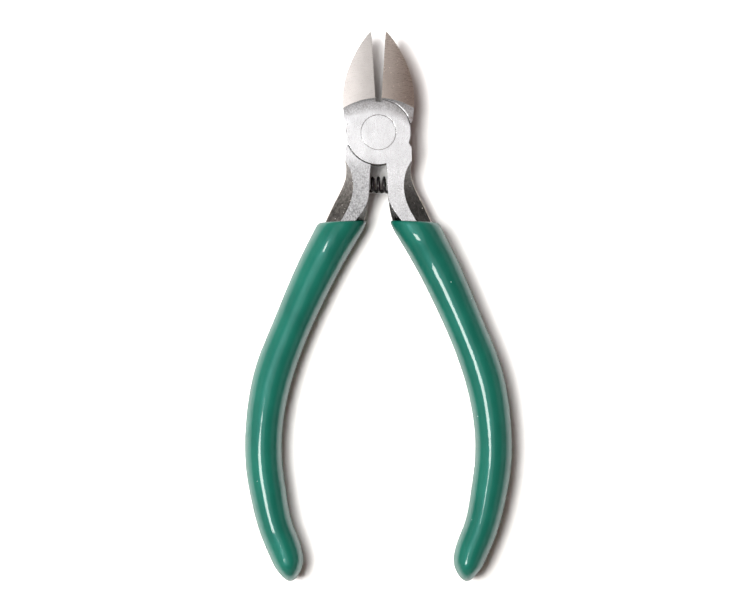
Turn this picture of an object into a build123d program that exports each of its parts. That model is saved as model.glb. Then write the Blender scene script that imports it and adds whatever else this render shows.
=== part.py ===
from build123d import *
import math
import os

# Small side cutters (sprue nippers) lying flat: jaws toward +Y, handles toward -Y, front face up (+Z).
# Every piece is drawn where it sits when the return spring holds the tool open. The pivot is the Z axis.
# Pieces are drawn about the plane where the two laps meet, then raised: the joint's rear face ends at Z = 0.

os.makedirs("parts", exist_ok=True)

# Joint, in millimetres and degrees
head_half = 3.8          # half thickness of the joint and of the full-thickness limbs
lap_gap = 0.03           # running gap between the two laps
lap_radius = 6.8         # radius of each lap disc
lap_clearance = 0.13     # arc gap between a lap disc and the other half's shoulders
lap_chamfer = 0.12
open_angle = 4.0         # each half is turned this far from closed when at rest
notch_width = 1.2        # slot at the root of the cutting edges
notch_floor = 6.38

# Jaws
edge_gap = 0.015         # distance of each cutting edge from the centre line when closed, at the tip
root_relief = 0.14       # the same distance at the root of the edge, so that the tips close first
edge_root_y = 7.3
tip_y = 21.2
tip_blunt = 0.4          # width of the blunt end of each jaw
edge_land = 0.2          # height of the upright land under the cutting edge
bevel_angle = 24.0       # back bevel of the cutting edge, from upright
ridge_root = 3.0         # height of the front facets where they leave the joint
ridge_tip = 1.15
back_root = 3.35         # the same two heights on the rear face
back_tip = 0.8
facet_crown = 60.0       # radius of the slight crown ground across the facets
facet_shift = 1.8        # each facet's crown is centred this far past the centre line
brow_radius = 13.8       # plan radius of the arc where the joint ends and the facets begin
brow_y = 7.2             # top of that arc
brow_width = 3.6         # width over which the joint's face rounds down to the arc
brow_y_centre = brow_y - brow_radius
brow_sweep = 120.0       # angle the brow is swept through, far enough to clear both jaws

# Plan of the right-hand jaw's back, and of the corner where it meets the other half's joint
jaw_back = [(3.95, 18.2), (6.05, 14.0), (7.2, 10.0), (7.45, 6.2)]
shoulder_radius = 7.5
shoulder_angle = 18.6
shoulder_lip = 3.2       # degrees from the shoulder round to where the lap disc leaves it
jaw_root = [(2.57, 3.06), (notch_width / 2, 4.0)]

# Plan of the right-hand shank: the ground rib on its faces, and the wider flank at its mid-plane
shank_root = [(1.65, -3.0), (3.0, -1.5)]
knuckle_radius = 7.6     # small knuckle under the joint
knuckle_angle = -24.4
knuckle_lip = 4.6        # degrees from the knuckle round to where the lap disc meets it
waist = [(1.65, -6.9), (1.9, -11.0)]
flank_outer = [(7.05, -6.0), (7.1, -10.0), (9.2, -14.5), (11.2, -18.7), (13.4, -23.0)]
flank_inner = waist + [(2.15, -14.5), (2.8, -17.9), (5.6, -23.0)]
rib_outer = [(6.95, -5.9), (5.4, -9.6), (5.75, -14.2), (7.7, -18.2), (10.6, -23.0)]
rib_inner = waist + [(2.3, -14.4), (4.8, -18.4), (8.1, -23.0)]

# Rivet
rivet_radius = 2.6
rivet_head_radius = 3.7
rivet_head_depth = 1.1
rivet_head_chamfer = 0.1
rivet_clearance = 0.03

# Return spring, lying along X between the shanks
spring_y = -10.9
spring_radius = 1.53     # radius of the spring's centre line
spring_wire = 0.3        # radius of the wire
spring_turns = 7
pocket_radius = 1.95
pocket_floor = 4.6       # distance of each blind pocket's floor from the centre line
spring_end_play = 0.03

# Handles: the bowed centre line of the right-hand one, and sizes along it
handle_line = [
    (7.5, -18.9), (15.35, -33.9), (21.9, -50.3), (24.1, -65.4), (22.6, -77.8), (20.35, -85.6), (18.1, -93.9),
]
grip_half_width = [(0.0, 4.5), (0.23, 4.12), (0.46, 4.03), (0.69, 3.86), (0.86, 3.55), (0.945, 3.2)]
grip_half_thick = 4.7
tang_wall = 1.35         # sleeve thickness round the steel core
tang_shift = 0.03        # each section of the core sits this share of the length further along
grip_mouth_y = -18.8

side = 60.0              # half size of the cutting blocks


def turned(point, angle):
    """A point of the closed tool, turned about the pivot by angle degrees."""
    c = math.cos(math.radians(angle))
    s = math.sin(math.radians(angle))
    return (point[0] * c - point[1] * s, point[0] * s + point[1] * c)


def polar(radius, angle):
    return (radius * math.cos(math.radians(angle)), radius * math.sin(math.radians(angle)))


def swap_faces(shape):
    """The same shape turned half a turn about Y, which swaps front and rear, left and right."""
    return Rot(0, 180, 0) * shape


def disc(radius, low, high):
    return Pos(0, 0, (low + high) / 2) * Cylinder(radius, high - low)


def half_space(origin, along, up):
    """A large block on the up side of the plane through origin that holds the direction along."""
    along = Vector(along)
    plane = Plane(origin=origin, x_dir=along, z_dir=along.cross(Vector(up)).cross(along))
    return plane * Pos(0, 0, side / 2) * Box(2 * side, 2 * side, side)


def jaw_outline():
    """Plan outline of the right-hand jaw, from its cutting edge round to the shoulder."""
    root = turned((root_relief, edge_root_y), -open_angle)
    tip = turned((edge_gap, tip_y), -open_angle)
    shoulder = polar(shoulder_radius, shoulder_angle)
    lip = polar(lap_radius, shoulder_angle - shoulder_lip)
    nose = (tip[0] + tip_blunt, tip[1] - tip_blunt / 3)
    edges = Line(root, tip) + Line(tip, nose) + Spline(nose, *jaw_back, shoulder)
    edges += Polyline(shoulder, lip, *jaw_root, (notch_width / 2, edge_root_y), root)
    return make_face(edges)


def facet_height(root_height, tip_height, x, y):
    """Height of the right-hand jaw's ground facet at a point of the plan."""
    slope = (tip_height - root_height) / (tip_y - brow_y)
    fall = facet_crown - math.sqrt(facet_crown ** 2 - (x + facet_shift) ** 2)
    return root_height + slope * (y - brow_y) - fall


def facet(root_height, tip_height):
    """The block above one crowned facet of the right-hand jaw, clear of the joint's brow."""
    slope = (tip_height - root_height) / (tip_y - brow_y)
    axis = Plane(origin=(-facet_shift, brow_y, root_height - facet_crown), x_dir=(1, 0, 0), z_dir=(0, 1, slope))
    block = half_space((0, brow_y, root_height - head_half), (0, 1, slope), (0, 0, 1))
    block -= axis * Cylinder(facet_crown, 2 * side)
    return block - Pos(0, brow_y_centre, 0) * Cylinder(brow_radius, 2 * side)


def right_jaw():
    jaw = extrude(jaw_outline(), head_half, both=True)
    jaw -= facet(ridge_root, ridge_tip)
    jaw -= mirror(facet(back_root, back_tip), Plane.XY)
    edge = [turned((root_relief, edge_root_y), -open_angle), turned((edge_gap, tip_y), -open_angle)]
    start, end = [
        Vector(x, y, facet_height(ridge_root, ridge_tip, x, y) - edge_land) for x, y in edge
    ]
    lean = math.radians(bevel_angle)
    return jaw - half_space(start, end - start, (-math.cos(lean), 0, -math.sin(lean)))


def shank_outline(height, outer, inner):
    """Plan outline of the right-hand shank at one height; both heights have matching corners."""
    lip = polar(lap_radius, knuckle_angle + knuckle_lip)
    top = [*shank_root, lip, polar(knuckle_radius, knuckle_angle), outer[0]]
    edges = Polyline(*top) + Spline(*outer) + Line(outer[-1], inner[-1])
    edges += Spline(*inner) + Line(inner[0], top[0])
    return Pos(0, 0, height) * make_face(edges)


def right_shank():
    """Full-thickness shank: a ground rib on each face, falling away to the forging's mid-plane."""
    flank = shank_outline(0, flank_outer, flank_inner)
    rib = shank_outline(head_half, rib_outer, rib_inner)
    upper = loft([flank, rib], ruled=True)
    return upper + mirror(upper, Plane.XY)


def handle_plane(share):
    """Plane across the right-hand handle, at a share of its length."""
    line = Spline(*handle_line)
    return Plane(origin=line @ share, x_dir=(line % share).cross(Vector(0, 0, 1)), z_dir=line % share)


def right_tang():
    """Steel core inside the sleeve."""
    return loft([
        handle_plane(share + tang_shift) * Ellipse(half_width - tang_wall, grip_half_thick - tang_wall)
        for share, half_width in grip_half_width[:-1]
    ])


def right_sleeve():
    """Outer form of the dipped sleeve, closed and rounded at its far end, cut square at its mouth."""
    body = loft([handle_plane(share) * Ellipse(width, grip_half_thick) for share, width in grip_half_width])
    last_share, last_width = grip_half_width[-1]
    dome = []
    for turn in (0, 20, 40, 60, 80):
        share = last_share + (1 - last_share) * math.sin(math.radians(turn))
        shrink = math.cos(math.radians(turn))
        dome.append(handle_plane(share) * Ellipse(last_width * shrink, grip_half_thick * shrink))
    above = Pos(0, grip_mouth_y + side / 2, 0) * Box(2 * side, side, side)
    return body + loft(dome) - above


def lap(low, high, chamfered):
    """One lap disc of the joint, its outer corner broken on the outside face."""
    plate = disc(lap_radius, low, high)
    rim = plate.edges().filter_by(GeomType.CIRCLE).group_by(Axis.Z)[chamfered]
    return chamfer(rim, lap_chamfer)


def brow(height):
    """The ring cut away where the joint's face rounds down to the arc at the root of the facets."""
    drop = head_half - height
    bend = (brow_width ** 2 + drop ** 2) / (2 * drop)
    inner = brow_radius - brow_width
    half_turn = math.asin(brow_width / bend) / 2
    middle = (inner + bend * math.sin(half_turn), head_half - bend * (1 - math.cos(half_turn)))
    profile = ThreePointArc((inner, 0, head_half), (middle[0], 0, middle[1]), (brow_radius, 0, height))
    profile += Polyline((brow_radius, 0, height), (brow_radius, 0, head_half + 1), (inner, 0, head_half + 1),
                        (inner, 0, head_half))
    ring = revolve(make_face(profile), Axis.Z, brow_sweep)
    return Pos(0, brow_y_centre, 0) * Rot(0, 0, 90 - brow_sweep / 2) * ring


def rivet_form(play):
    """Rivet shank and its two countersunk heads, grown by play on the radius."""
    body = disc(rivet_radius + play, -head_half, head_half)
    for face in (0, 180):
        head = Pos(0, 0, head_half - rivet_head_depth / 2) * Cone(
            rivet_radius + play, rivet_head_radius + play, rivet_head_depth
        )
        body += Rot(face, 0, 0) * head
    return body


def finish_half(limbs, plate, own_low, play):
    """Joins limbs and lap disc, then makes the cuts that both halves share."""
    other = (-side, lap_gap / 2) if own_low > 0 else (-lap_gap / 2, side)
    half = limbs - disc(lap_radius + lap_clearance, *other) + plate
    half -= brow(ridge_root)
    half -= mirror(brow(back_root), Plane.XY)
    half -= Pos(0, notch_floor + side / 2, 0) * Box(notch_width, side, side)
    half -= rivet_form(play)
    floor = Pos(0, spring_y, 0) * Rot(0, 90, 0) * Cylinder(pocket_radius, 2 * pocket_floor)
    return half - floor


def front_half():
    jaw = mirror(right_jaw(), Plane.YZ)
    limbs = jaw + right_shank() + right_tang()
    return finish_half(limbs, lap(lap_gap / 2, head_half, -1), lap_gap / 2, 0.0)


def rear_half():
    limbs = right_jaw() + swap_faces(right_shank() + right_tang())
    return finish_half(limbs, lap(-head_half, -lap_gap / 2, 0), -head_half, rivet_clearance)


def pivot_rivet():
    body = rivet_form(0.0)
    rims = body.edges().filter_by(GeomType.CIRCLE).group_by(Axis.Z)
    return chamfer([rims[0], rims[-1]], rivet_head_chamfer)


def return_spring():
    length = 2 * (pocket_floor - spring_wire - spring_end_play)
    coil = Helix(length / spring_turns, length, spring_radius, center=(-length / 2, spring_y, 0),
                 direction=(1, 0, 0))
    return sweep(Plane(origin=coil @ 0, z_dir=coil % 0) * Circle(spring_wire), path=coil)


front = front_half()
rear = rear_half()
pieces = {
    "front_half": front,
    "rear_half": rear,
    "pivot_rivet": pivot_rivet(),
    "return_spring": return_spring(),
    "right_grip": right_sleeve() - front,
    "left_grip": mirror(right_sleeve(), Plane.YZ) - rear,
}
for name, shape in pieces.items():
    export_step(Pos(0, 0, head_half) * shape, f"parts/{name}.step")
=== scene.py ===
import math

import bpy
import numpy as np
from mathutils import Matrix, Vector


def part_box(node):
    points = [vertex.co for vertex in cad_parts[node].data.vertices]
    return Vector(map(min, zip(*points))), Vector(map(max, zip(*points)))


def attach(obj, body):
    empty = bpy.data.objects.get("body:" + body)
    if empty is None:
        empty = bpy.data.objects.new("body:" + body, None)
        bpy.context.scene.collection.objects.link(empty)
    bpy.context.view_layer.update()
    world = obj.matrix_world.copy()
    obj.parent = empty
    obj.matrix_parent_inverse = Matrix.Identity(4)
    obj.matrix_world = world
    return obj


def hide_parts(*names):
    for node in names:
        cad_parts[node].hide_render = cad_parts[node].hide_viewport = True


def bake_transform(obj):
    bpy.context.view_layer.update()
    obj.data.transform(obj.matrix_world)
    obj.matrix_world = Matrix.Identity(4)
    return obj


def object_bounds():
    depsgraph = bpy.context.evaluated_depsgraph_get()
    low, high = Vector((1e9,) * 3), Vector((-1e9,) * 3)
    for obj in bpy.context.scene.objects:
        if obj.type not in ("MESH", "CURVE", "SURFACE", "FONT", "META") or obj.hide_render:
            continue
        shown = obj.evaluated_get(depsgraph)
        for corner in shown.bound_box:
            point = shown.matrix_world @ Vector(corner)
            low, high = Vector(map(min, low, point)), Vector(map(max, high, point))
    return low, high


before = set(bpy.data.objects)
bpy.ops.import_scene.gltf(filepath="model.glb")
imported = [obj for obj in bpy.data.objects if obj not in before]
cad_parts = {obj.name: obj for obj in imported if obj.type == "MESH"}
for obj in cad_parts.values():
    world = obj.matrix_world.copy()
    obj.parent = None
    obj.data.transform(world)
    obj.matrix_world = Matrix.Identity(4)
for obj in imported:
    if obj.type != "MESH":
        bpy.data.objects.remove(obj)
cad_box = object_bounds()

MM = 0.001
low, high = Vector(cad_box[0]), Vector(cad_box[1])
spring_low, spring_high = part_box("return_spring")
grip_low, grip_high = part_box("right_grip")
middle_z = (low.z + high.z) / 2

BROW_Y = 7.2 * MM            # where the joint's rounded brow meets the cutting facets, on the centre line
BROW_RADIUS = 13.8 * MM      # radius of the line where they meet
DISC_RADIUS = 6.9 * MM       # radius at which a half's shoulder follows the other half's disc


# ---------------------------------------------------------------- node helpers

def new_material(name):
    material = bpy.data.materials.new(name)
    material.use_nodes = True
    tree = material.node_tree
    tree.nodes.clear()
    output = tree.nodes.new("ShaderNodeOutputMaterial")
    shader = tree.nodes.new("ShaderNodeBsdfPrincipled")
    tree.links.new(shader.outputs[0], output.inputs[0])
    return material, tree, shader


def put(tree, value, socket):
    """Links a node output, or sets a plain value, on an input socket."""
    if isinstance(value, bpy.types.NodeSocket):
        tree.links.new(value, socket)
    else:
        socket.default_value = value


def maths(tree, operation, a, b=0.0, c=0.0):
    node = tree.nodes.new("ShaderNodeMath")
    node.operation = operation
    for value, socket in zip((a, b, c), node.inputs):
        put(tree, value, socket)
    return node.outputs[0]


def ramp(tree, value, low_in, high_in, low_out=0.0, high_out=1.0):
    """A smooth, clamped change of value from one range to another."""
    node = tree.nodes.new("ShaderNodeMapRange")
    node.interpolation_type = "SMOOTHSTEP"
    for given, socket in zip((value, low_in, high_in, low_out, high_out), node.inputs):
        put(tree, given, socket)
    return node.outputs[0]


def mix(tree, factor, a, b):
    node = tree.nodes.new("ShaderNodeMix")
    node.data_type = "RGBA"
    put(tree, factor, node.inputs[0])
    put(tree, a, node.inputs[6])
    put(tree, b, node.inputs[7])
    return node.outputs[2]


def blend_value(tree, factor, a, b):
    node = tree.nodes.new("ShaderNodeMix")
    put(tree, factor, node.inputs[0])
    put(tree, a, node.inputs[2])
    put(tree, b, node.inputs[3])
    return node.outputs[0]


def noise(tree, place, size, detail=3.0, rough=0.55):
    """Noise in object space, its features sized in millimetres along each axis."""
    mapping = tree.nodes.new("ShaderNodeMapping")
    mapping.inputs["Scale"].default_value = tuple(1 / (MM * extent) for extent in size)
    tree.links.new(place, mapping.inputs["Vector"])
    node = tree.nodes.new("ShaderNodeTexNoise")
    node.inputs["Scale"].default_value = 1.0
    node.inputs["Detail"].default_value = detail
    node.inputs["Roughness"].default_value = rough
    tree.links.new(mapping.outputs[0], node.inputs["Vector"])
    return node.outputs[0]


def bump(tree, height, strength, distance, before=None):
    node = tree.nodes.new("ShaderNodeBump")
    put(tree, strength, node.inputs["Strength"])
    node.inputs["Distance"].default_value = distance
    tree.links.new(height, node.inputs["Height"])
    if before is not None:
        tree.links.new(before, node.inputs["Normal"])
    return node.outputs[0]


def length(tree, a, b):
    squares = [maths(tree, "POWER", side, 2.0) for side in (a, b)]
    return maths(tree, "SQRT", maths(tree, "ADD", *squares))


def object_place(tree):
    """Object-space position, and its X, Y and Z."""
    coordinates = tree.nodes.new("ShaderNodeTexCoord")
    split = tree.nodes.new("ShaderNodeSeparateXYZ")
    tree.links.new(coordinates.outputs["Object"], split.inputs[0])
    return coordinates.outputs["Object"], split.outputs


def dots(tree, place, spacing, share):
    """Small round dots, one to a cell spacing millimetres wide, where a slow noise is above share."""
    cells = tree.nodes.new("ShaderNodeTexVoronoi")
    cells.inputs["Scale"].default_value = 1 / (spacing * MM)
    tree.links.new(place, cells.inputs["Vector"])
    chosen = maths(tree, "GREATER_THAN", noise(tree, place, (3.1, 3.1, 3.1), 1.0), share)
    dot_radius = 0.10 / spacing
    dot = ramp(tree, cells.outputs["Distance"], dot_radius, dot_radius * 1.4, 1.0, 0.0)
    return maths(tree, "MULTIPLY", dot, chosen)


def grey(value, warm=0.0):
    return (value * (1 + warm), value, value * (1 - warm), 1.0)


# ---------------------------------------------------------------- materials

def steel_zones(tree, axes):
    """How far each point belongs to the jaws, the brow, the ribs, the side walls and the forging skin."""
    x, y, z = axes
    geometry = tree.nodes.new("ShaderNodeNewGeometry")
    normal = tree.nodes.new("ShaderNodeSeparateXYZ")
    tree.links.new(geometry.outputs["True Normal"], normal.inputs[0])
    steep = ramp(tree, maths(tree, "ABSOLUTE", normal.outputs[2]), 0.88, 0.93, 1.0, 0.0)
    above_middle = maths(tree, "SUBTRACT", z, middle_z)
    at_middle = ramp(tree, maths(tree, "ABSOLUTE", above_middle), 0.16 * MM, 0.30 * MM, 1.0, 0.0)
    reach = length(tree, x, maths(tree, "SUBTRACT", y, BROW_Y - BROW_RADIUS))
    ahead = ramp(tree, y, 3.0 * MM, 4.0 * MM)
    beyond_brow = ramp(tree, reach, BROW_RADIUS - 0.02 * MM, BROW_RADIUS + 0.02 * MM)
    on_brow = ramp(tree, reach, BROW_RADIUS - 3.4 * MM, BROW_RADIUS - 1.8 * MM)
    on_shank = ramp(tree, y, -3.6 * MM, -3.2 * MM, 1.0, 0.0)
    skin = maths(tree, "MULTIPLY", steep, on_shank)
    # the shoulder beside the other half's disc is on opposite sides at the front and at the rear
    shoulder_side = maths(tree, "MULTIPLY", x, maths(tree, "SIGN", above_middle))
    return {
        "jaw": maths(tree, "MULTIPLY", ahead, beyond_brow),
        "brow": maths(tree, "MULTIPLY", ahead, on_brow),
        "shoulder": maths(tree, "MULTIPLY", ramp(tree, shoulder_side, 3.0 * MM, 4.4 * MM), ahead),
        "rib": ramp(tree, y, -4.5 * MM, -7.5 * MM),
        "shank": on_shank,
        "side_wall": maths(tree, "MULTIPLY", steep, maths(tree, "SUBTRACT", 1.0, on_shank)),
        "skin": skin,
        "trimmed": maths(tree, "MULTIPLY", skin, at_middle),
    }


def face_finish(tree, place, axes, zone, cloud):
    """Ground face: fine strokes along the tool over cloudy patches, specked on the brow and the ribs."""
    x, y, _ = axes
    strokes = noise(tree, place, (0.10, 1.6, 1.0), 4.0, 0.62)
    hair = noise(tree, place, (0.035, 2.4, 1.0), 2.0, 0.5)
    speck = noise(tree, place, (0.30, 0.36, 0.3), 4.0, 0.75)
    brow_tone = maths(tree, "MULTIPLY", ramp(tree, speck, 0.32, 0.68, -0.40, -0.01), zone["brow"])
    left_dull = ramp(tree, x, -1.0 * MM, 0.0, -0.25, 0.0)
    low_dull = ramp(tree, y, -10.0 * MM, -15.0 * MM, 0.0, -0.12)
    mottle = ramp(tree, speck, 0.35, 0.65, -0.22, 0.11)
    mottle = maths(tree, "MULTIPLY", mottle, ramp(tree, x, -1.0 * MM, 0.0, 1.0, 0.6))
    rib_tone = maths(tree, "ADD", maths(tree, "ADD", left_dull, low_dull), mottle)
    rib_tone = maths(tree, "MULTIPLY", rib_tone, zone["rib"])
    stroke_tone = ramp(tree, strokes, 0.3, 0.7, -0.035, 0.035)
    stroke_tone = maths(tree, "MULTIPLY", stroke_tone, ramp(tree, zone["rib"], 0.0, 1.0, 1.0, 0.4))
    tone = ramp(tree, cloud, 0.3, 0.7, 0.83, 0.93)
    for share in (brow_tone, rib_tone, stroke_tone):
        tone = maths(tree, "ADD", tone, share)
    rough = ramp(tree, strokes, 0.25, 0.75, 0.24, 0.32)
    rough = maths(tree, "ADD", rough, maths(tree, "MULTIPLY", zone["brow"], 0.26))
    return tone, rough, maths(tree, "ADD", hair, strokes)


def facet_finish(tree, place, axes, cloud):
    """Cutting facet: very fine strokes across the jaw, with painted light brightest at the outer left, and
    painted shade and painted glints at the right.
    """
    x = axes[0]
    grain = noise(tree, place, (0.9, 0.045, 0.5), 3.0, 0.5)
    tone = ramp(tree, grain, 0.3, 0.7, 0.67, 0.73)
    tone = maths(tree, "ADD", tone, ramp(tree, cloud, 0.3, 0.7, -0.02, 0.02))
    # painted light and shade: the left facet lighter towards its outer edge, the right facet slightly
    # darker, as the light falls on them
    left_painted_light = ramp(tree, x, -8.5 * MM, -0.5 * MM, 1.38, 0.80)
    facet_painted_light = blend_value(tree, maths(tree, "GREATER_THAN", x, -0.5 * MM), left_painted_light, 0.94)
    tone = maths(tree, "MULTIPLY", tone, facet_painted_light)
    # painted glints: small white specks added to the right facet's colour
    painted_glints = maths(tree, "MULTIPLY", dots(tree, place, 0.7, 0.54), maths(tree, "GREATER_THAN", x, 0.0))
    tone = maths(tree, "ADD", tone, maths(tree, "MULTIPLY", painted_glints, 0.25))
    return tone, ramp(tree, grain, 0.25, 0.75, 0.26, 0.33), grain


def skin_finish(tree, place, axes, zone):
    """Forging skin: dark, scaled and pitted, darkest by the grips, with painted shade on its right-hand
    side, bright where its flash was trimmed.
    """
    x, y, _ = axes
    scale_marks = noise(tree, place, (0.8, 0.8, 0.8), 6.0, 0.62)
    pits = noise(tree, place, (0.28, 0.28, 0.28), 2.0, 0.5)
    tone = ramp(tree, scale_marks, 0.36, 0.68, 0.09, 0.26)
    tone = maths(tree, "MULTIPLY", tone, ramp(tree, y, -8.0 * MM, -17.0 * MM, 1.0, 0.45))
    # painted shade: the forging skin on the right-hand side made much darker than on the left, as it faces
    # away from the light
    tone = maths(tree, "MULTIPLY", tone, ramp(tree, x, -1.0 * MM, 1.0 * MM, 0.90, 0.27))
    tone = maths(tree, "ADD", tone, maths(tree, "MULTIPLY", dots(tree, place, 0.9, 0.50), 0.45))
    tone = blend_value(tree, zone["trimmed"], tone, 0.42)
    relief = maths(tree, "ADD", scale_marks, maths(tree, "MULTIPLY", pits, 0.35))
    return tone, ramp(tree, pits, 0.3, 0.7, 0.40, 0.62), maths(tree, "MULTIPLY", relief, zone["skin"])


def steel_colour(tree, axes, zone, tone):
    """Steel of a given tone: cool on the ground faces, warm on the facets and the forging skin."""
    facet_warmth = ramp(tree, axes[0], -1.0 * MM, 1.0 * MM, 1.02, 1.08)
    warmth = blend_value(tree, zone["jaw"], 0.96, facet_warmth)
    warmth = blend_value(tree, zone["skin"], warmth, 1.07)
    colour = tree.nodes.new("ShaderNodeCombineColor")
    tree.links.new(maths(tree, "MULTIPLY", tone, warmth), colour.inputs[0])
    tree.links.new(tone, colour.inputs[1])
    tree.links.new(maths(tree, "DIVIDE", tone, warmth), colour.inputs[2])
    return colour.outputs[0]


def steel_relief(tree, axes, zone, face_lines, grain, skin_bumps):
    """Worn edges, grinding strokes, the bevelled shoulder and the scaled skin, one over the other."""
    worn_edge = tree.nodes.new("ShaderNodeBevel")
    worn_edge.samples = 6
    tree.links.new(blend_value(tree, zone["shank"], 0.10 * MM, 0.03 * MM), worn_edge.inputs["Radius"])
    fine = blend_value(tree, zone["jaw"], face_lines, grain)
    fine = maths(tree, "MULTIPLY", fine, maths(tree, "SUBTRACT", 1.0, zone["skin"]))
    smoother = maths(tree, "MAXIMUM", zone["brow"], maths(tree, "MULTIPLY", zone["rib"], 0.75))
    fine = maths(tree, "MULTIPLY", fine, ramp(tree, smoother, 0.0, 1.0, 1.0, 0.3))
    from_pivot = length(tree, axes[0], axes[1])
    shoulder = ramp(tree, from_pivot, DISC_RADIUS, DISC_RADIUS + 0.32 * MM)
    relief = bump(tree, fine, blend_value(tree, zone["jaw"], 0.20, 0.18), 0.006 * MM, worn_edge.outputs[0])
    relief = bump(tree, shoulder, zone["shoulder"], 0.14 * MM, relief)
    return bump(tree, skin_bumps, 0.8, 0.10 * MM, relief)


def steel_material():
    """Forged steel: satin-ground faces, finely ground cutting facets and dark forging skin."""
    material, tree, shader = new_material("ground_steel")
    place, axes = object_place(tree)
    zone = steel_zones(tree, axes)
    cloud = noise(tree, place, (2.4, 3.2, 2.0), 3.0, 0.5)
    face_tone, face_rough, face_lines = face_finish(tree, place, axes, zone, cloud)
    facet_tone, facet_rough, grain = facet_finish(tree, place, axes, cloud)
    skin_tone, skin_rough, skin_bumps = skin_finish(tree, place, axes, zone)
    tone = blend_value(tree, zone["jaw"], face_tone, facet_tone)
    tone = blend_value(tree, zone["skin"], tone, skin_tone)
    tone = blend_value(tree, zone["side_wall"], tone, ramp(tree, cloud, 0.3, 0.7, 0.20, 0.26))
    rough = blend_value(tree, zone["jaw"], face_rough, facet_rough)
    rough = blend_value(tree, zone["skin"], rough, skin_rough)
    relief = steel_relief(tree, axes, zone, face_lines, grain, skin_bumps)
    tree.links.new(steel_colour(tree, axes, zone, tone), shader.inputs["Base Color"])
    tree.links.new(rough, shader.inputs["Roughness"])
    tree.links.new(relief, shader.inputs["Normal"])
    shader.inputs["Metallic"].default_value = 1.0
    return material


def spring_material():
    """Blackened spring wire with drawn-wire unevenness."""
    material, tree, shader = new_material("black_wire")
    place, _ = object_place(tree)
    patches = noise(tree, place, (0.5, 0.5, 0.5))
    shade = mix(tree, ramp(tree, patches, 0.35, 0.75), grey(0.004), grey(0.012, 0.05))
    fine = noise(tree, place, (0.08, 0.08, 0.08), 2.0)
    tree.links.new(shade, shader.inputs["Base Color"])
    tree.links.new(ramp(tree, patches, 0.3, 0.7, 0.16, 0.28), shader.inputs["Roughness"])
    tree.links.new(bump(tree, fine, 0.4, 0.01 * MM), shader.inputs["Normal"])
    shader.inputs["Metallic"].default_value = 0.3
    shader.inputs["Coat Weight"].default_value = 1.0
    shader.inputs["Coat Roughness"].default_value = 0.05
    return material


def vinyl_material():
    """Glossy dip-moulded vinyl: deep green, faintly rippled, with a few specks of dust."""
    material, tree, shader = new_material("dipped_vinyl")
    place, _ = object_place(tree)
    cloud = noise(tree, place, (5.0, 9.0, 5.0))
    body = mix(tree, ramp(tree, cloud, 0.3, 0.7), (0.002, 0.062, 0.043, 1), (0.003, 0.077, 0.053, 1))
    dust = dots(tree, place, 2.4, 0.62)
    colour = mix(tree, maths(tree, "MULTIPLY", dust, 0.55), body, (0.45, 0.62, 0.56, 1))
    film = noise(tree, place, (1.2, 2.6, 1.2), 4.0, 0.6)
    ripple = noise(tree, place, (2.6, 6.5, 2.6), 2.0, 0.4)
    dimples = noise(tree, place, (0.35, 0.6, 0.35), 2.0, 0.5)
    relief = bump(tree, ripple, 0.5, 0.12 * MM)
    relief = bump(tree, film, 0.4, 0.02 * MM, relief)
    relief = bump(tree, dimples, 0.4, 0.012 * MM, relief)
    relief = bump(tree, dust, 0.5, 0.03 * MM, relief)
    # the film turns duller where it is seen edge-on
    edge_on = tree.nodes.new("ShaderNodeLayerWeight")
    edge_on.inputs["Blend"].default_value = 0.5
    facing = edge_on.outputs["Facing"]
    tree.links.new(colour, shader.inputs["Base Color"])
    tree.links.new(ramp(tree, film, 0.3, 0.75, 0.38, 0.48), shader.inputs["Roughness"])
    tree.links.new(ramp(tree, facing, 0.50, 0.90, 0.5, 0.10), shader.inputs["Specular IOR Level"])
    tree.links.new(ramp(tree, facing, 0.50, 0.90, 0.60, 0.12), shader.inputs["Coat Weight"])
    tree.links.new(relief, shader.inputs["Normal"])
    tree.links.new(relief, shader.inputs["Coat Normal"])
    shader.inputs["IOR"].default_value = 1.5
    shader.inputs["Specular Tint"].default_value = (0.35, 0.85, 0.9, 1)
    shader.inputs["Coat IOR"].default_value = 1.45
    shader.inputs["Coat Roughness"].default_value = 0.028
    return material


def floor_material():
    """White paper with a faint tooth."""
    material, tree, shader = new_material("white_paper")
    place, _ = object_place(tree)
    tooth = noise(tree, place, (0.4, 0.4, 0.4))
    shade = mix(tree, tooth, (0.90, 0.90, 0.90, 1), (0.93, 0.93, 0.93, 1))
    tree.links.new(shade, shader.inputs["Base Color"])
    shader.inputs["Roughness"].default_value = 0.9
    return material


# ---------------------------------------------------------------- mesh helpers

def natural_spline(points, count):
    """Smooth curve through points, sampled evenly: returns positions as an array of rows."""
    given = np.array(points, float)
    knots = np.concatenate([[0.0], np.cumsum(np.linalg.norm(np.diff(given[:, :2], axis=0), axis=1))])
    size = len(given)
    gaps = np.diff(knots)
    system = np.zeros((size, size))
    right = np.zeros_like(given)
    system[0, 0] = system[-1, -1] = 1.0
    for i in range(1, size - 1):
        system[i, i - 1:i + 2] = gaps[i - 1], 2 * (gaps[i - 1] + gaps[i]), gaps[i]
        right[i] = 6 * ((given[i + 1] - given[i]) / gaps[i] - (given[i] - given[i - 1]) / gaps[i - 1])
    bend = np.linalg.solve(system, right)
    at = np.linspace(0.0, knots[-1], count)
    span = np.clip(np.searchsorted(knots, at, side="right") - 1, 0, size - 2)
    rows = []
    for t, i in zip(at, span):
        a = (knots[i + 1] - t) / gaps[i]
        b = 1 - a
        straight = a * given[i] + b * given[i + 1]
        curved = (a ** 3 - a) * bend[i] + (b ** 3 - b) * bend[i + 1]
        rows.append(straight + curved * gaps[i] ** 2 / 6)
    return np.array(rows)


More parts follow.
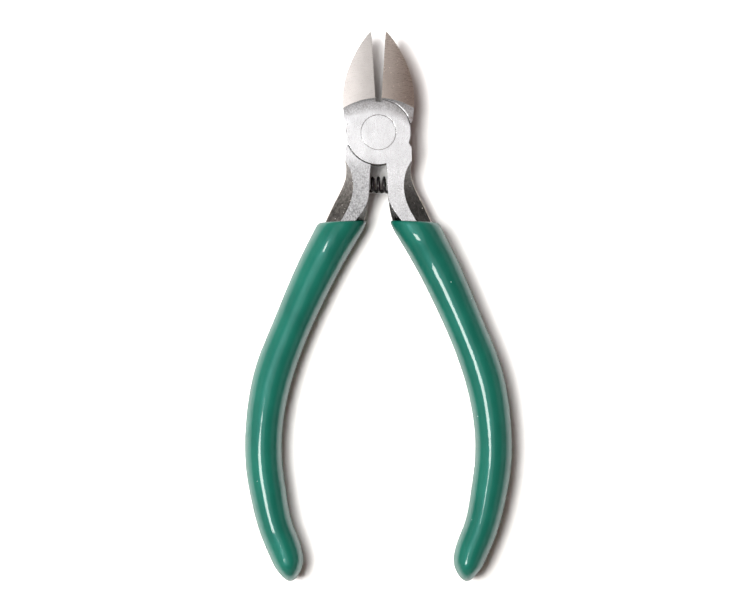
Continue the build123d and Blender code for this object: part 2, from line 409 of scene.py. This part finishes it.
def tube_object(name, rings, material):
    """A closed tube through rings of points, each end capped by a fan."""
    count = len(rings[0])
    vertices = [tuple(point) for ring in rings for point in ring]
    faces = []
    for row in range(len(rings) - 1):
        for k in range(count):
            a = row * count + k
            b = row * count + (k + 1) % count
            faces.append((a, b, b + count, a + count))
    for first, forwards in ((0, False), ((len(rings) - 1) * count, True)):
        centre = len(vertices)
        end_ring = vertices[first:first + count]
        vertices.append(tuple(sum(point[i] for point in end_ring) / count for i in range(3)))
        for k in range(count):
            edge = (first + k, first + (k + 1) % count)
            faces.append((centre,) + (edge if forwards else edge[::-1]))
    mesh = bpy.data.meshes.new(name)
    mesh.from_pydata(vertices, [], faces)
    mesh.update()
    for face in mesh.polygons:
        face.use_smooth = True
    obj = bpy.data.objects.new(name, mesh)
    bpy.context.scene.collection.objects.link(obj)
    obj.data.materials.append(material)
    return obj


# ---------------------------------------------------------------- grips

# Sizes of the sleeves, in millimetres. The right-hand sleeve's centre line and half width come first, from
# its mouth to its closed end: x, y, half width.
SLEEVE = [
    (7.5, -18.9, 4.50), (11.4, -25.8, 4.32), (15.35, -33.95, 4.11), (18.8, -41.95, 3.96),
    (21.9, -50.3, 4.08), (23.65, -58.7, 3.93), (23.85, -70.8, 3.85), (23.25, -74.7, 3.80),
    (21.25, -83.3, 3.55), (18.9, -89.7, 3.22), (18.45, -93.95, 2.14),
]
LINE_POINTS = 400        # points taken along that line
AROUND = 72              # points around each section
FULLNESS = 0.94          # power that makes the section slightly fuller than an ellipse
ROUND = 4.1              # length over which the closed end rounds off
WALL = 0.85              # sleeve thickness at its mouth
RIM = 0.42               # how far the rounded rim stands out
MOUTH_DEPTH = 3.0        # how far down the mouth's inside is modelled
MOUTH_TAPER = 0.25       # how much narrower the inside is at that depth
MOUTH_TURN = 9.0         # length over which the sections turn to lie level with the mouth
PINCH = 0.05             # share by which the sleeve draws in at its mouth
PINCH_LENGTH = 1.6       # length over which it draws in
SWELL = 0.48             # extra height on the front where the dipped film gathered behind the mouth
SWELL_AT = 3.6           # where along the sleeve the swelling is highest
SWELL_LENGTH = 3.3       # how quickly it dies away


def sleeve_sections(travel_end):
    """Distance from the mouth, share of full size and inset of each ring, from the closed end."""
    sections = []
    for step in range(14):
        turn = math.radians(5 + 85 * step / 14)
        sections.append((travel_end - ROUND * (1 - math.cos(turn)), math.sin(turn), 0.0))
    for step in range(141):
        sections.append(((travel_end - ROUND) * (1 - step / 140), 1.0, 0.0))
    for step in range(1, 6):
        turn = math.pi * step / 5
        sections.append((-RIM * math.sin(turn), 1.0, WALL * (1 - math.cos(turn)) / 2))
    for step in range(1, 4):
        sections.append((MOUTH_DEPTH * step / 3, 1.0, WALL + MOUTH_TAPER * step / 3))
    return sections


def fuller(value):
    """A sine or cosine raised towards one, for a section slightly fuller than an ellipse."""
    return math.copysign(abs(value) ** FULLNESS, value)


def sleeve_rings(side):
    """Rings of the sleeve, from the closed end to the mouth, over its rim and a little way in."""
    line = natural_spline(SLEEVE, LINE_POINTS)
    tangent = np.gradient(line[:, :2], axis=0)
    tangent /= np.linalg.norm(tangent, axis=1)[:, None]
    steps = np.linalg.norm(np.diff(line[:, :2], axis=0), axis=1)
    travel = np.concatenate([[0.0], np.cumsum(steps)])
    half_thick = (grip_high.z - grip_low.z) / 2 / MM

    def ring(distance, share, inset):
        x, y, half_width = (np.interp(distance, travel, line[:, i]) for i in range(3))
        tx, ty = (np.interp(distance, travel, tangent[:, i]) for i in range(2))
        x += tx * min(0.0, distance)
        y += ty * min(0.0, distance)
        level_share = max(0.0, 1 - distance / MOUTH_TURN) ** 2
        across = np.array([-ty, tx]) * (1 - level_share) + np.array([1 / abs(ty), 0.0]) * level_share
        half_width *= 1 - PINCH * max(0.0, 1 - distance / PINCH_LENGTH) ** 2
        swell = SWELL * math.exp(-((distance - SWELL_AT) / SWELL_LENGTH) ** 2)
        points = []
        for k in range(AROUND):
            angle = 2 * math.pi * k / AROUND
            half_height = half_thick + (swell if angle < math.pi else 0.0)
            u = fuller(math.cos(angle)) * (half_width * share - inset)
            w = fuller(math.sin(angle)) * (half_height * share - inset)
            across_x, across_y = across * u
            points.append(((x + across_x) * side * MM, (y + across_y) * MM, w * MM + middle_z))
        return points

    return [ring(*section) for section in sleeve_sections(travel[-1])]


def build_grip(name, side, node, body, material):
    """Dip-moulded sleeve with an open mouth, on the right for side 1 and on the left for side -1."""
    grip = tube_object(name, sleeve_rings(side), material)
    if side < 0:
        grip.data.flip_normals()
    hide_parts(node)
    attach(grip, body)


# ---------------------------------------------------------------- spring

TURNS = 8
TURN_STEPS = 44          # rings in each turn
START_ANGLE = math.radians(100)
WIRE = 0.38 * MM         # radius of the wire
WIRE_SIDES = 16
CROSSING = 0.38          # share of a turn, on its lower side, in which it crosses to the next
END_SHARE = 0.10         # share of the turns wound close at each end
END_PITCH = 0.45         # their pitch, as a share of the mean pitch


def turns_made(angle):
    """Turns made at an angle, if each coil crosses to the next along its lower side."""
    whole = math.floor(angle / (2 * math.pi))
    part = angle / (2 * math.pi) - whole
    share = min(1.0, max(0.0, (part - 0.5) / CROSSING + 0.5))
    return whole + share * share * (3 - 2 * share)


def advance(turned):
    """Share of the spring's length reached at a share of its turns, slow in the close end turns."""
    end = END_SHARE * END_PITCH
    if turned < END_SHARE:
        return turned * END_PITCH
    if turned > 1 - END_SHARE:
        return 1 - (1 - turned) * END_PITCH
    return end + (turned - END_SHARE) * (1 - 2 * end) / (1 - 2 * END_SHARE)


def build_spring(material):
    """Coil of round wire with close end turns, set between the two halves."""
    centre_y = (spring_low.y + spring_high.y) / 2
    radius = (spring_high.y - spring_low.y) / 2 - WIRE
    span = spring_high.x - spring_low.x - 2 * WIRE
    first_turn = turns_made(START_ANGLE)
    turn_count = turns_made(START_ANGLE + 2 * math.pi * TURNS) - first_turn
    rings = []
    for i in range(TURNS * TURN_STEPS + 1):
        angle = START_ANGLE + 2 * math.pi * i / TURN_STEPS
        x = span * (advance((turns_made(angle) - first_turn) / turn_count) - 0.5)
        outward = Vector((0, math.cos(angle), math.sin(angle)))
        ring_centre = Vector((x, centre_y, middle_z)) + outward * radius
        ring = []
        for k in range(WIRE_SIDES):
            around = 2 * math.pi * k / WIRE_SIDES
            along = Vector((WIRE * math.sin(around), 0, 0))
            ring.append(ring_centre + outward * WIRE * math.cos(around) + along)
        rings.append(ring)
    spring = tube_object("coil_spring", rings, material)
    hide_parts("return_spring")
    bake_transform(spring)


# ---------------------------------------------------------------- scene

FLOOR_SIZE = 3.0
CAMERA_HEIGHT = 0.85
PICTURE_ASPECT = 734 / 610
FILLED = 0.9             # share of the picture's height that the tool fills
NEARLY_WHITE = (1, 0.995, 0.985)


def area_light(name, place, aim, size, power, colour):
    data = bpy.data.lights.new(name, "AREA")
    data.shape = "RECTANGLE"
    data.size, data.size_y = size
    data.energy = power
    data.color = colour
    light = bpy.data.objects.new(name, data)
    light.location = place
    light.rotation_euler = (Vector(aim) - Vector(place)).to_track_quat("-Z", "Y").to_euler()
    bpy.context.scene.collection.objects.link(light)
    return light


def build_floor(centre):
    bpy.ops.mesh.primitive_plane_add(size=FLOOR_SIZE, location=(centre.x, centre.y, low.z))
    floor = bpy.context.object
    floor.name = "floor"
    floor.data.materials.append(floor_material())


def build_lights(centre):
    world = bpy.data.worlds.new("studio")
    world.use_nodes = True
    world.node_tree.nodes["Background"].inputs[0].default_value = (0.118, 0.065, 0.049, 1)
    bpy.context.scene.world = world
    # the key and the side light show only on the paper and in the vinyl's own colour; the small box and
    # the softbox are also seen as reflections in the steel and on the grips
    key_place = centre + Vector((-0.28, 0.10, 0.71))
    key = area_light("key", key_place, centre, (0.42, 0.42), 8.7, NEARLY_WHITE)
    side_place = centre + Vector((-0.70, 0.10, 0.50))
    side = area_light("side", side_place, centre, (0.30, 0.50), 4.6, NEARLY_WHITE)
    for light in (key, side):
        light.visible_glossy = False
    small_place = centre + Vector((-0.315, -0.11, 0.70))
    area_light("small_box", small_place, centre, (0.15, 0.24), 3.2, (1, 0.98, 0.93))
    box_place = centre + Vector((-0.215, 0.35, 1.0))
    area_light("softbox", box_place, box_place - Vector((0, 0, 1)), (0.67, 1.20), 2.15, (1, 1, 1))
    # low panels all round, seen only as reflections, for the steel when it is looked at from the side
    for step in range(6):
        turn = math.radians(60 * step)
        panel_place = centre + Vector((math.cos(turn), math.sin(turn), 0.50))
        panel = area_light(f"panel_{step}", panel_place, centre, (1.15, 0.55), 0.9, (1, 1, 1))
        panel.visible_diffuse = False
        panel.visible_camera = False


def build_camera(centre):
    data = bpy.data.cameras.new("camera")
    camera = bpy.data.objects.new("camera", data)
    picture_width = (high.y - low.y) / FILLED * PICTURE_ASPECT
    data.lens = data.sensor_width * CAMERA_HEIGHT / picture_width
    # the picture's middle is slightly to the left of the tool's centre line and above its middle
    camera.location = centre + Vector((-2.4 * MM, 0.35 * MM, CAMERA_HEIGHT))
    bpy.context.scene.collection.objects.link(camera)
    bpy.context.scene.camera = camera


def main():
    centre = (low + high) / 2
    steel = steel_material()
    for node in ("front_half", "rear_half", "pivot_rivet"):
        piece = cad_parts[node]
        piece.data.materials.clear()
        piece.data.materials.append(steel)
    vinyl = vinyl_material()
    build_grip("vinyl_grip_right", 1, "right_grip", "front_half", vinyl)
    build_grip("vinyl_grip_left", -1, "left_grip", "rear_half", vinyl)
    build_spring(spring_material())
    build_floor(centre)
    build_lights(centre)
    build_camera(centre)
    bpy.context.scene.view_settings.view_transform = "Standard"


main()
